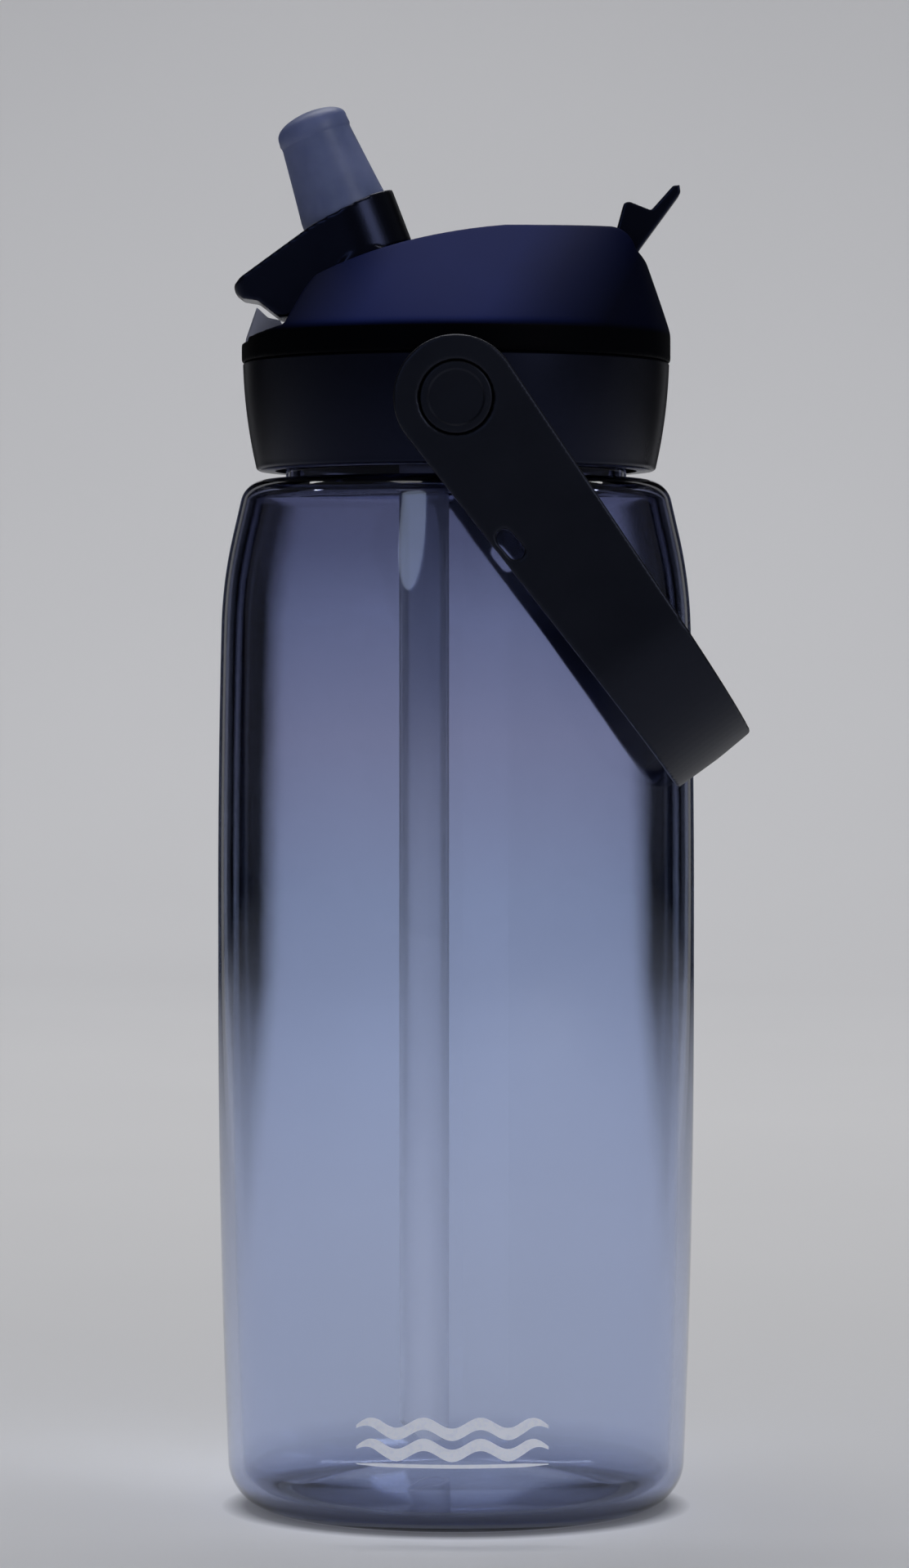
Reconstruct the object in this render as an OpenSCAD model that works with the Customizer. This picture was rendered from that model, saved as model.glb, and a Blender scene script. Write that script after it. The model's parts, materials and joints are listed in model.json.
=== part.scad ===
// Flip-straw hydration bottle: wide-mouth translucent body, screw lid with a flip-up
// bite-valve spout, drinking straw, and a bail handle that swings over the lid.
// Millimetres. +Z up, origin on the bottle axis at the standing plane, spout toward -X.

/* [Body] */
// Radius of the body at its widest
body_r = 45.5; // [37.5:0.1:55]
// Height of the widest point above the standing plane
belly_z = 106; // [80:1:130]
// Length of the straight grip band at the widest point
belly_band = 20; // [12:1:26]
// Radius of the long arc that bows the side wall
side_bow_r = 2000; // [1200:50:4000]
// Height of the flat shoulder that the lid closes down to
shoulder_z = 196; // [160:0.1:236]
// Length of the rounded shoulder below its flat top
shoulder_len = 28; // [24:1:34]
// Radius of the arc that turns the wall into the shoulder
shoulder_bend_r = 88; // [70:1:110]
// Radius of the shoulder's top corner
shoulder_edge_r = 5; // [3.5:0.5:6]
// Radius of the corner between base and side
base_corner_r = 9; // [6:0.5:12]
// Rise of the hollow under the base
punt_h = 5; // [2:0.5:8]
// Thickness of the body wall
body_wall = 2.8; // [2:0.1:3.4]

/* [Neck and thread] */
// Step from the body's widest radius in to the neck's
neck_step = 13; // [10:0.1:16]
// Thickness of the neck wall
neck_wall = 2.6; // [2:0.1:3.4]
// Height of the neck above the shoulder
neck_h = 17; // [15:0.5:22]
// Rise of the thread in one turn
thread_pitch = 6; // [5:0.25:7]
// Height of the thread ridges
thread_h = 1.6; // [1.2:0.1:2]
// Turns of thread on the neck and in the collar
thread_turns = 1.25; // [1:0.05:1.5]
// Thickness of the gasket that the lid closes down on
gasket_t = 2.8; // [2:0.1:3.6]

/* [Collar and lid] */
// Wall of the collar outside its thread at the lower rim
collar_wall = 3.7; // [3:0.1:5]
// Outward lean of the collar from its lower rim to its top
collar_flare = 2.6; // [1:0.1:4]
// Gap between the shoulder and the collar's lower rim
collar_gap = 1.7; // [1:0.1:3]
// Thickness of the inner deck
deck_t = 2.5; // [2:0.1:4]
// Height of the vertical band at the foot of the lid cover
band_h = 5.4; // [4:0.2:8]
// Height of the cheeks above that band
cheek_h = 19.9; // [17:0.1:25]
// Width of each cheek's flat ridge beside the channel
ridge_w = 3.4; // [2:0.2:6]
// Wall of the lid cover
cover_wall = 2.2; // [1.6:0.1:3]
// Distance from the channel's closed end back to the rear of the cover
channel_back = 16.9; // [14:0.1:20]

/* [Spout] */
// Distance of the spout hinge in front of the bottle axis
hinge_x = 15.65; // [13:0.01:18.8]
// Forward lean of the open spout
spout_lean = 21; // [12:1:28]
// Radius of the spout's head ring
head_r = 10; // [8.3:0.1:12]
// Height of the ring's lower face above the hinge
head_z0 = 6; // [5.5:0.1:6.5]
// Height of the ring's top above the hinge
head_z1 = 16.4; // [14:0.2:19]
// Radius of the hinge barrel
barrel_r = 7.3; // [6.5:0.1:7.6]
// Radius of the trunnions that the barrel turns on
trunnion_r = 3; // [2:0.1:3.5]
// Length of each trunnion inside its cheek
trunnion_len = 2.6; // [1.5:0.1:3.5]
// Reach of the finger tab in front of the spout's axis
tab_reach = 25; // [20:0.2:27]
// Half width of the finger tab at its tip
tab_half_w = 6.5; // [4:0.1:8]
// Radius of the drinking passage
passage_r = 2.5; // [1.5:0.1:2.8]

/* [Bite valve] */
// Lip of the head ring in front of and behind the valve's foot
ring_lip_x = 1.5; // [0.9:0.1:2]
// Lip of the head ring beside the valve's foot
ring_lip_y = 0.8; // [0.6:0.1:2]
// Length of the valve above the ring
valve_len = 19.4; // [15:0.2:22]
// Share of its foot size that the valve keeps at its tip
valve_taper = 0.8; // [0.7:0.01:0.95]
// Wall of the valve
valve_wall = 1.9; // [1.2:0.1:2.2]
// Outer radius of the nipple inside the valve
nipple_r = 4.4; // [3.8:0.1:5]

/* [Straw] */
// Distance of the straw in front of the bottle axis
straw_x = 6.1; // [4:0.1:8]
// Outer radius of the straw
straw_r = 4.75; // [4.4:0.05:5.5]
// Wall of the straw
straw_wall = 1; // [0.8:0.05:1.2]
// Height of the straw's lower end above the standing plane
straw_end_z = 13; // [11:0.5:30]

/* [Handle] */
// Radius of the boss on the collar that carries each pivot
pivot_boss_r = 9; // [7.5:0.1:10.8]
// Lean of the resting handle from straight down
handle_lean = 36; // [30:0.5:42]
// Distance of the resting grip's far face behind the body's widest radius
grip_behind = 2.93; // [2.4:0.01:6]
// Radius of the eye round each pivot
eye_r = 11.5; // [9.5:0.1:13.8]
// Width of the handle's band at the grip
grip_w = 17; // [14:0.2:20]
// Lean of the grip's end face
grip_skew = 5; // [0:0.5:8]
// Thickness of the arms
arm_t = 3; // [2.4:0.1:4]
// Thickness of the grip
grip_t = 3.6; // [3:0.1:5]
// Outer radius of the corners between arms and grip
handle_corner_r = 28; // [20:0.5:34]
// Radius of the stud that each eye turns on
stud_r = 4; // [3:0.1:5]
// Radius of the stud's head
stud_head_r = 6.6; // [5.5:0.1:8]
// Depth of the stud's head
stud_head_t = 1.2; // [0.8:0.1:1.6]
// Length of the slot in each arm
slot_len = 6.4; // [4:0.1:9]
// Width of the slot in each arm
slot_w = 3.2; // [2:0.1:4]

/* [Fits] */
// Clearance between pieces that turn or slide past each other
run_gap = 0.3; // [0.25:0.05:0.4]
// Clearance of the spout inside its channel
channel_gap = 0.6; // [0.4:0.1:0.9]
// Clearance between the collar's thread and the neck's
thread_gap = 0.4; // [0.35:0.05:0.5]
// Clearance between the body and what swings or turns round it
body_gap = 0.7; // [0.5:0.1:1]

/* [Hidden] */
$fn = 96;
eps = 0.01;

// heights, all built up from the shoulder
neck_top = shoulder_z + neck_h;
collar_z0 = shoulder_z + collar_gap;
deck_z = neck_top + gasket_t;
collar_z1 = deck_z + deck_t;
band_z = collar_z1 + band_h;
crown_z = band_z + cheek_h;

// neck and collar
neck_r = body_r - neck_step;
rim_edge = 0.6;
thread_bore_r = neck_r + thread_h + thread_gap;
collar_r0 = thread_bore_r + collar_wall;
collar_r1 = collar_r0 + collar_flare;
collar_bulge_r = 100;
deck_r = collar_r1 - 3.3;
cover_r = collar_r1 + 0.1;

// channel and hinge
channel_hw = head_r + channel_gap;
channel_end = cover_r - channel_back;
floor_t = 2;
floor_z = collar_z1 + 3.7;
hinge_z = floor_z + head_r + 0.5;
socket_y = channel_hw + trunnion_len + run_gap;
seal_top_z = hinge_z - barrel_r + 2;
seal_hw = 7;

// straw and passage
straw_bore_r = straw_r - straw_wall;
passage_turn_z = hinge_z - (hinge_x - straw_x) / tan(spout_lean);
boss_z = passage_turn_z + 0.6;
boss_r = 6;
passage_mid_x = straw_x + (deck_z - boss_z) / 2 * tan(spout_lean);
spigot_len = 10;

// handle
pivot_z = collar_z1 - pivot_boss_r;
handle_reach = (body_r + grip_behind) / sin(handle_lean);
arm_y0 = max(body_r, cover_r) + 0.8;
arm_y1 = arm_y0 + arm_t;
boss_y = arm_y0 - 0.6;
swing_clear_r = body_r + body_gap;
stud_root_y = thread_bore_r + 3;
slot_s = 27.5;
slot_t = 7.8;
slot_turn = -5;

// threads: the collar's ridge lies under the neck's, a running clearance away
thread_root_w = 3;
thread_crest_w = 1.2;
thread_sink = 0.6;
thread_z = neck_top - thread_turns * thread_pitch - 2.1;
collar_thread_z = thread_z - 2.2 - thread_gap;

// tab behind the channel, bumper in front of it
rear_tab_x = cover_r - 9;
rear_tab_w = 8;
bumper_w = 14;

// valve's foot and the nipple inside it
valve_rx = head_r - ring_lip_x;
valve_ry = head_r - ring_lip_y;
nipple_h = 7;
nipple_barb = 0.7;

// vent
vent_x = 14;
vent_hole_r = 0.6;
vent_ring_r = 2.7;
vent_stem_r = 1.4;
vent_cap_r = 4.6;
vent_foot_r = 1.9;

// points on an arc round c, from angle a0 to a1
function arc(c, r, a0, a1, n) =
    [for (i = [0:n]) c + r * [cos(a0 + (a1 - a0) * i / n), sin(a0 + (a1 - a0) * i / n)]];

// points from p to q on an arc of radius r that bulges to the left of the way from p to q
function bow(p, q, r, n) =
    let (d = q - p, len = norm(d), u = d / len, left = [-u[1], u[0]])
    let (c = (p + q) / 2 - left * sqrt(r * r - len * len / 4))
    let (a0 = atan2(p[1] - c[1], p[0] - c[0]), half = asin(len / 2 / r))
    arc(c, r, a0, a0 - 2 * half, n);

// outline of the body's wall from the axis under the base to the foot of the neck,
// taken inward by inset
function side_r(z) = body_r - pow(max(0, abs(z - belly_z) - belly_band / 2), 2) / (2 * side_bow_r);
function body_wall_line(inset, neck) =
    let (punt_r = side_r(base_corner_r) - base_corner_r - 3)
    let (corner = [side_r(base_corner_r) - base_corner_r, base_corner_r])
    let (band_foot = belly_z - belly_band / 2, band_top = belly_z + belly_band / 2)
    let (z1 = shoulder_z - shoulder_len, a1 = atan((z1 - band_top) / side_bow_r), a2 = 13)
    let (bend = [side_r(z1), z1] - shoulder_bend_r * [cos(a1), sin(a1)])
    let (bent = bend + shoulder_bend_r * [cos(a2), sin(a2)])
    let (edge_z = shoulder_z - shoulder_edge_r)
    let (run = (edge_z + shoulder_edge_r * sin(a2) - bent[1]) / cos(a2))
    let (edge = [bent[0] - run * sin(a2) - shoulder_edge_r * cos(a2), edge_z])
    concat(
        [for (i = [0:6]) [punt_r * i / 6, punt_h * (1 - pow(i / 6, 2)) + inset]],
        arc(corner, base_corner_r - inset, -90, 0, 8),
        [for (i = [1:5]) let (z = base_corner_r + (band_foot - base_corner_r) * i / 5) [side_r(z) - inset, z]],
        [for (i = [0:3]) let (z = band_top + (z1 - band_top) * i / 4) [side_r(z) - inset, z]],
        arc(bend, shoulder_bend_r - inset, a1, a2, 6),
        arc(edge, shoulder_edge_r - inset, a2, 90, 6),
        [[neck, shoulder_z - inset]]);

// a helical ridge from r_root to r_crest; its ends run out to nothing over a ninth of a turn
module thread_ridge(r_root, r_crest, z0) {
    steps = 24;
    rings = round(thread_turns * steps);
    runout = steps / 9;
    function depth(i) = max(0.05, min(1, i / runout, (rings - i) / runout));
    function ring(i) =
        let (a = 360 * i / steps, z = z0 + thread_pitch * i / steps, k = depth(i))
        let (rc = r_root + (r_crest - r_root) * k)
        let (wr = thread_root_w, wc = wr + (thread_crest_w - wr) * k)
        [for (p = [[r_root, -wr], [rc, -wc], [rc, wc], [r_root, wr]])
            [p[0] * cos(a), p[0] * sin(a), z + p[1] / 2]];
    outward = r_crest > r_root;
    sides = [for (i = [0:rings - 1], j = [0:3])
        let (a = 4 * i + j, b = 4 * i + (j + 1) % 4)
        outward ? [a, b, b + 4, a + 4] : [a + 4, b + 4, b, a]];
    first = outward ? [3, 2, 1, 0] : [0, 1, 2, 3];
    last = [for (j = first) 4 * rings + 3 - j];
    polyhedron([for (i = [0:rings]) each ring(i)], concat([first], sides, [last]), convexity = 8);
}

// stands a 2D side outline (x, z) up and gives it a width along Y
module side_slab(width) {
    rotate([90, 0, 0])
        linear_extrude(width, center = true)
            children();
}

module along_y(y0, y1, r) {
    translate([0, y0, 0])
        rotate([-90, 0, 0])
            cylinder(h = y1 - y0, r = r);
}

module both_sides() {
    for (s = [-1, 1])
        scale([1, s, 1])
            children();
}

// ---------------------------------------------------------------- body
module bottle_body() {
    color([0.30, 0.32, 0.42, 0.6]) {
        rotate_extrude()
            difference() {
                polygon(concat(body_wall_line(0, neck_r),
                    [[neck_r, neck_top - rim_edge], [neck_r - rim_edge, neck_top], [0, neck_top]]));
                polygon(concat(body_wall_line(body_wall, neck_r - neck_wall),
                    [[neck_r - neck_wall, neck_top + 1], [0, neck_top + 1]]));
            }
        thread_ridge(neck_r - thread_sink, neck_r + thread_h, thread_z);
    }
}

module neck_gasket() {
    color([0.75, 0.76, 0.80])
        translate([0, 0, neck_top])
            rotate_extrude()
                difference() {
                    translate([neck_r - neck_wall + 0.6, 0])
                        square([thread_bore_r - neck_r + neck_wall - 1.1, deck_z - neck_top]);
                    translate([thread_bore_r - 0.2, (deck_z - neck_top) / 2])
                        circle(r = 0.8);
                }
}

// ---------------------------------------------------------------- lid
module screw_collar() {
    color([0.02, 0.02, 0.03])
        difference() {
            union() {
                rotate_extrude()
                    polygon(concat(
                        bow([collar_r1, collar_z1], [collar_r0, collar_z0 + 0.6], collar_bulge_r, 5),
                        [[collar_r0 - 0.6, collar_z0], [thread_bore_r, collar_z0],
                            [thread_bore_r, deck_z], [deck_r, deck_z], [deck_r, collar_z1]]));
                both_sides()
                    translate([0, 0, pivot_z])
                        along_y(thread_bore_r + 1.5, boss_y, pivot_boss_r);
            }
            both_sides()
                translate([0, 0, pivot_z])
                    along_y(stud_root_y, boss_y + 1, stud_r);
            translate([0, 0, deck_z])
                cylinder(h = deck_t + 1, r = deck_r);
        }
    color([0.02, 0.02, 0.03])
        thread_ridge(thread_bore_r + 0.5, neck_r + 0.6, collar_thread_z);
}

module lid_deck() {
    color([0.05, 0.05, 0.06])
        difference() {
            union() {
                translate([0, 0, deck_z])
                    cylinder(h = deck_t, r = deck_r);
                translate([-passage_mid_x, 0, boss_z])
                    cylinder(h = deck_z - boss_z + 1, r = boss_r);
                translate([-straw_x, 0, boss_z - spigot_len])
                    cylinder(h = spigot_len + 1, r = straw_bore_r);
            }
            drinking_passage();
            translate([-straw_x, 0, boss_z - spigot_len - 1])
                cylinder(h = passage_turn_z - boss_z + spigot_len + 2.4, r = passage_r);
            translate([vent_x, 0, deck_z - 1]) {
                cylinder(h = deck_t + 2, r = vent_stem_r);
                for (a = [45:90:315])
                    rotate(a)
                        translate([vent_ring_r, 0, 0])
                            cylinder(h = deck_t + 2, r = vent_hole_r);
            }
        }
}

// the slanted bore from the spout's barrel down to where it meets the straw
module drinking_passage() {
    on_spout()
        translate([0, 0, -(hinge_z - passage_turn_z) / cos(spout_lean)])
            cylinder(h = (hinge_z - passage_turn_z) / cos(spout_lean), r = passage_r);
}

// side outline of the lid cover, seen from -Y
module cover_outline(inset) {
    apron = hinge_x + 16.5;
    brow = hinge_x + 10.7;
    rear = cover_r - 6.9;
    offset(delta = -inset)
        polygon(concat(
            [[-cover_r, deck_z - 9], [-cover_r, band_z - 1.4], [-apron, band_z + 0.6]],
            bow([-apron + 3.3, band_z + 6.8], [-brow, band_z + 10.2], 20, 2),
            bow([-brow, band_z + 10.2], [rear - 5.6, crown_z], 105, 8),
            bow([rear - 5.6, crown_z], [rear, crown_z - 4.1], 5, 4),
            bow([rear, crown_z - 4.1], [cover_r, band_z], 20, 6),
            [[cover_r, deck_z - 9]]));
}

// outer form of the lid cover: round at the band, rising to two ridges along the channel
module cover_form(inset) {
    ridge_hw = channel_hw + ridge_w - inset / 2;
    rear = cover_r - 6.9 - inset;
    intersection() {
        union() {
            translate([0, 0, collar_z1 - inset])
                cylinder(h = band_h, r = cover_r - inset);
            hull() {
                translate([0, 0, band_z - inset])
                    cylinder(h = eps, r = cover_r - inset, $fn = 64);
                translate([0, 0, crown_z - inset])
                    linear_extrude(eps)
                        translate([-hinge_x - 9, -ridge_hw])
                            square([rear + hinge_x + 9, 2 * ridge_hw]);
            }
        }
        side_slab(3 * cover_r)
            cover_outline(inset);
    }
}

// the channel that the spout folds back into, open at the front and round at its closed end
module spout_channel(grow) {
    hw = channel_hw + grow;
    translate([0, 0, floor_z - grow]) {
        translate([-cover_r - 1, -hw, 0])
            cube([cover_r + 1 + channel_end - channel_hw, 2 * hw, 2 * cheek_h]);
        translate([channel_end - channel_hw, 0, 0])
            cylinder(h = 2 * cheek_h, r = hw);
    }
}

module lid_cover() {
    color([0.03, 0.03, 0.05])
        difference() {
            cover_form(0);
            difference() {
                cover_form(cover_wall);
                spout_channel(floor_t);
                translate([-hinge_x, 0, hinge_z])
                    along_y(-socket_y - 1.5, socket_y + 1.5, trunnion_r + 2.5);
                translate([rear_tab_x - 3, -rear_tab_w / 2 - 2, collar_z1])
                    cube([10, rear_tab_w + 4, crown_z]);
            }
            spout_channel(0);
            translate([-hinge_x, 0, hinge_z])
                along_y(-socket_y, socket_y, trunnion_r + run_gap);
            seal_block(floor_z + 1);
            translate([vent_x, 0, floor_z - floor_t - 1])
                cylinder(h = floor_t + 2, r = vent_stem_r);
            rear_tab_form();
            front_bumper_form();
        }
}

module rear_tab_form() {
    side_slab(rear_tab_w)
        polygon([for (p = [[-2.2, -6], [-1.4, 0], [0, 5.2], [0.9, 5.6], [5.2, 3.9], [9.4, 8.6],
            [10.6, 8.7], [10.8, 7.2], [3.2, -3.2], [1.6, -6]])
            [rear_tab_x, crown_z - 0.3] + p]);
}

module rear_tab() {
    color([0.02, 0.02, 0.03])
        rear_tab_form();
}

module front_bumper_form() {
    translate([-cover_r, 0, floor_z])
        side_slab(bumper_w)
            polygon([[0.8, -1.2], [1, 0.5], [3.1, 6.6], [5.2, 4.6], [7.6, 4.1], [9, -1.2]]);
}

module front_bumper() {
    color([0.70, 0.72, 0.85])
        front_bumper_form();
}

module vent_valve() {
    color([0.75, 0.76, 0.80])
        translate([vent_x, 0, deck_z])
            rotate_extrude() {
                translate([0, -0.8])
                    square([vent_cap_r, 0.8]);
                translate([0, -0.1])
                    square([vent_stem_r, deck_t + 0.1]);
                translate([0, deck_t])
                    square([vent_foot_r, 1]);
            }
}

// ---------------------------------------------------------------- spout and straw
module seal_block(top) {
    translate([-hinge_x - 6.5, -seal_hw, collar_z1])
        cube([12, 2 * seal_hw, top - collar_z1]);
}

module spout_seal() {
    color([0.75, 0.76, 0.80])
        difference() {
            seal_block(seal_top_z);
            translate([-hinge_x, 0, hinge_z])
                along_y(-20, 20, barrel_r + run_gap);
            drinking_passage();
        }
}

module straw() {
    color([0.80, 0.82, 0.90, 0.7])
        translate([-straw_x, 0, 0])
            difference() {
                translate([0, 0, straw_end_z])
                    cylinder(h = boss_z - straw_end_z, r = straw_r);
                translate([0, 0, straw_end_z - 1])
                    cylinder(h = boss_z, r = straw_bore_r);
                translate([0, 0, straw_end_z])
                    rotate([0, 35, 0])
                        translate([-20, -20, -20])
                            cube([40, 40, 20]);
            }
}

// the spout's own frame: origin on its hinge, +Z up along the drinking passage
module on_spout() {
    translate([-hinge_x, 0, hinge_z])
        rotate([0, -spout_lean, 0])
            children();
}

module flip_spout() {
    tip = -tab_reach;
    color([0.02, 0.02, 0.03])
        on_spout()
            difference() {
                union() {
                    intersection() {
                        side_slab(4 * head_r)
                            polygon([[head_r + 1, head_z0], [head_r + 1, head_z1], [6, head_z1],
                                [-6.5, head_z1 - 1.4], [-14, head_z1 - 3.3], [tip + 2, head_z1 - 5.6],
                                [tip + 0.3, head_z1 - 6.6], [tip, head_z1 - 8], [tip + 1, head_z1 - 9.6],
                                [tip + 3.5, head_z1 - 11], [tip + 6.3, 0.8], [-barrel_r + 0.3, -1.2],
                                [0, 0], [0, head_z0]]);
                        linear_extrude(2 * head_z1, center = true)
                            hull() {
                                circle(r = head_r);
                                translate([tip + 3, -tab_half_w + 3])
                                    circle(r = 3, $fn = 32);
                                translate([tip + 3, tab_half_w - 3])
                                    circle(r = 3, $fn = 32);
                            }
                    }
                    along_y(-head_r, head_r, barrel_r);
                    along_y(-head_r - channel_gap - trunnion_len, head_r + channel_gap + trunnion_len,
                        trunnion_r);
                    cylinder(h = head_z1 + nipple_h, r = nipple_r);
                    translate([0, 0, head_z1 + nipple_h - 2.5])
                        cylinder(h = 1.2, r = nipple_r + nipple_barb);
                }
                translate([0, 0, head_z1 - 1.5])
                    valve_socket();
                translate([0, 0, -barrel_r - 1])
                    cylinder(h = barrel_r + head_z1 + nipple_h + 3, r = passage_r);
            }
}

// the recess in the ring's top that holds the foot of the valve
module valve_socket() {
    difference() {
        scale([valve_rx, valve_ry, 1])
            cylinder(h = 10, r = 1);
        translate([0, 0, -1])
            cylinder(h = 12, r = nipple_r);
    }
}

module valve_form(inset) {
    tip_z = head_z1 + valve_len - inset;
    hull() {
        translate([0, 0, head_z1 - 1.5])
            scale([valve_rx - inset, valve_ry - inset, 1])
                cylinder(h = 1.5, r = 1, $fn = 48);
        translate([0, 0, tip_z - 3.5])
            scale([valve_rx * valve_taper - inset, valve_ry * valve_taper - inset, 1])
                cylinder(h = eps, r = 1, $fn = 48);
        translate([0.6, 0, tip_z - eps])
            scale([(valve_rx * valve_taper - inset) * 0.7, valve_ry * valve_taper - inset - 1.5, 1])
                cylinder(h = eps, r = 1, $fn = 48);
    }
}

module bite_valve() {
    color([0.70, 0.72, 0.85])
        on_spout()
            difference() {
                valve_form(0);
                intersection() {
                    valve_form(valve_wall);
                    translate([-20, -20, head_z1 + nipple_h])
                        cube([40, 40, 40]);
                }
                cylinder(h = head_z1 + nipple_h + 0.5, r = nipple_r);
                translate([0, 0, head_z1 + nipple_h - 2.5])
                    cylinder(h = 1.2, r = nipple_r + nipple_barb);
                translate([-0.2, -valve_ry * valve_taper / 2, head_z1 + valve_len - 5])
                    cube([0.4, valve_ry * valve_taper, 10]);
            }
}

// ---------------------------------------------------------------- handle
// the handle's own frame: origin on its pivot, +X along the arms to the grip
module on_handle() {
    translate([0, 0, pivot_z])
        rotate([0, 90 - handle_lean, 0])
            children();
}

module handle() {
    half = grip_w / 2;
    skew = half * tan(grip_skew);
    inner_r = handle_corner_r - arm_t;
    color([0.02, 0.02, 0.03])
        difference() {
            on_handle()
                difference() {
                    union() {
                        intersection() {
                            side_slab(2 * arm_y1)
                                polygon([[0, -eye_r], [handle_reach + skew, -half],
                                    [handle_reach - skew, half], [0, eye_r]]);
                            linear_extrude(4 * eye_r, center = true)
                                u_band(inner_r);
                        }
                        both_sides()
                            along_y(arm_y0, arm_y1, eye_r);
                    }
                    both_sides() {
                        along_y(arm_y0 - 1, arm_y1 + 1, stud_r + run_gap);
                        along_y(arm_y1 - stud_head_t, arm_y1 + 1, stud_head_r + run_gap);
                        translate([slot_s, 0, -slot_t])
                            rotate([0, slot_turn, 0])
                                arm_slot();
                    }
                }
            cylinder(h = pivot_z - 30, r = swing_clear_r);
        }
}

// plan of the handle's band: two arms, round corners and the grip across the end
module u_band(inner_r) {
    difference() {
        union() {
            translate([0, -arm_y1])
                square([handle_reach - handle_corner_r, 2 * arm_y1]);
            translate([0, -arm_y1 + handle_corner_r])
                square([handle_reach + grip_w, 2 * (arm_y1 - handle_corner_r)]);
            for (s = [-1, 1])
                translate([handle_reach - handle_corner_r, s * (arm_y1 - handle_corner_r)])
                    circle(r = handle_corner_r);
        }
        translate([-1, -arm_y0])
            square([handle_reach - handle_corner_r + 1, 2 * arm_y0]);
        translate([-1, -arm_y1 + handle_corner_r])
            square([handle_reach - grip_t + 1, 2 * (arm_y1 - handle_corner_r)]);
        for (s = [-1, 1])
            translate([handle_reach - handle_corner_r, s * (arm_y1 - handle_corner_r)])
                circle(r = inner_r);
    }
}

module arm_slot() {
    along = (slot_len - slot_w) / 2;
    for (s = [-1, 1])
        translate([s * along, 0, 0])
            along_y(arm_y0 - 1, arm_y1 + 1, slot_w / 2);
    translate([-along, arm_y0 - 1, -slot_w / 2])
        cube([2 * along, arm_t + 2, slot_w]);
}

module pivot_stud(side) {
    color([0.05, 0.05, 0.06])
        scale([1, side, 1])
            translate([0, 0, pivot_z]) {
                along_y(stud_root_y, arm_y1 - stud_head_t, stud_r);
                along_y(arm_y1 - stud_head_t, arm_y1, stud_head_r);
            }
}

module pivot_stud_left() {
    pivot_stud(-1);
}

module pivot_stud_right() {
    pivot_stud(1);
}

bottle_body();
neck_gasket();
screw_collar();
lid_deck();
lid_cover();
rear_tab();
front_bumper();
vent_valve();
spout_seal();
straw();
flip_spout();
bite_valve();
handle();
pivot_stud_left();
pivot_stud_right();
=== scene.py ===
import json
import math

import bmesh
import bpy
from mathutils import Matrix, Vector


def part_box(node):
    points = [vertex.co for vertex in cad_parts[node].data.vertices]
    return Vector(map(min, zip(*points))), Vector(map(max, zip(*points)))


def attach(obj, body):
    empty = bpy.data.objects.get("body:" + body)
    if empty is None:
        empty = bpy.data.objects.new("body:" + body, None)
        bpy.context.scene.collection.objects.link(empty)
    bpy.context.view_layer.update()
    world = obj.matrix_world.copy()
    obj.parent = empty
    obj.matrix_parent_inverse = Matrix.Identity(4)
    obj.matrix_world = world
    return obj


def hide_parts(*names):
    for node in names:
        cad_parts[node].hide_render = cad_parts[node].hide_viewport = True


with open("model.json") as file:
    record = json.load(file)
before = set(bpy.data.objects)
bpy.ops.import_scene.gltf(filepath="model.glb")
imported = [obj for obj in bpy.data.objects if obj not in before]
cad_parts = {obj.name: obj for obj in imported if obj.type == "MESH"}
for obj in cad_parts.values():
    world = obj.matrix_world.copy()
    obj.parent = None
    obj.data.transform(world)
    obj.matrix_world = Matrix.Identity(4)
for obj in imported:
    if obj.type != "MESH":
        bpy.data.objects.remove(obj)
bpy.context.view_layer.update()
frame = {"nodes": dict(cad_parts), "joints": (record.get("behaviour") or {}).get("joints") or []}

MM = 0.001

# ------------------------------------------------------------------ sizes, from the frame
JOINTS = {j["name"]: j for j in frame["joints"]}
BODY_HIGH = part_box("bottle_body")[1]
BODY_R = BODY_HIGH.x / MM
NECK_TOP = BODY_HIGH.z / MM
COLLAR_Z0, COLLAR_Z1 = (corner.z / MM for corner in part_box("screw_collar"))
COVER_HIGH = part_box("lid_cover")[1]
COVER_R = COVER_HIGH.y / MM
CROWN_Z = COVER_HIGH.z / MM
STRAW_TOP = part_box("straw")[1].z / MM
ARM_Y1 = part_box("handle")[1].y / MM
HINGE = Vector(JOINTS["spout_flip"]["pos_m"]) / MM
PIVOT = Vector(JOINTS["handle_swing"]["pos_m"]) / MM

# sizes in millimetres and degrees: the main ones repeat the part's, fine edges are this model's own
NECK_H, NECK_R, NECK_WALL = 17, 32.5, 2.6
BELLY_Z, BELLY_BAND, SIDE_BOW_R = 106, 20, 2000
SHOULDER_LEN, SHOULDER_BEND_R, SHOULDER_EDGE_R, BEND_END = 28, 88, 5, 13
BASE_CORNER_R, PUNT_H, PUNT_INSET, BODY_WALL, RIM_EDGE = 9, 5, 3, 2.8, 0.7
THREAD_PITCH, THREAD_H, THREAD_TURNS, THREAD_GAP = 6, 1.6, 1.25, 0.4
THREAD_ROOT_W, THREAD_CREST_W, THREAD_SINK, THREAD_DROP = 3, 1.2, 0.6, 9.6
SPOUT_LEAN, HEAD_R, HEAD_Z1, BARREL_R = 21, 10, 16.4, 7.3
TRUNNION_R, TRUNNION_LEN, TAB_REACH, TAB_HALF_W, TAB_CORNER_R = 3, 2.6, 25, 6.5, 3
CHANNEL_HW, CHANNEL_END, RIDGE_W, RIDGE_POWER, PASSAGE_R = 10.6, 24, 3.4, 3.0, 2.5
BAND_H, FLOOR_H, DECK_T, DECK_INSET, REAR_INSET = 5.4, 3.7, 2.5, 3.4, 6.9
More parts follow.
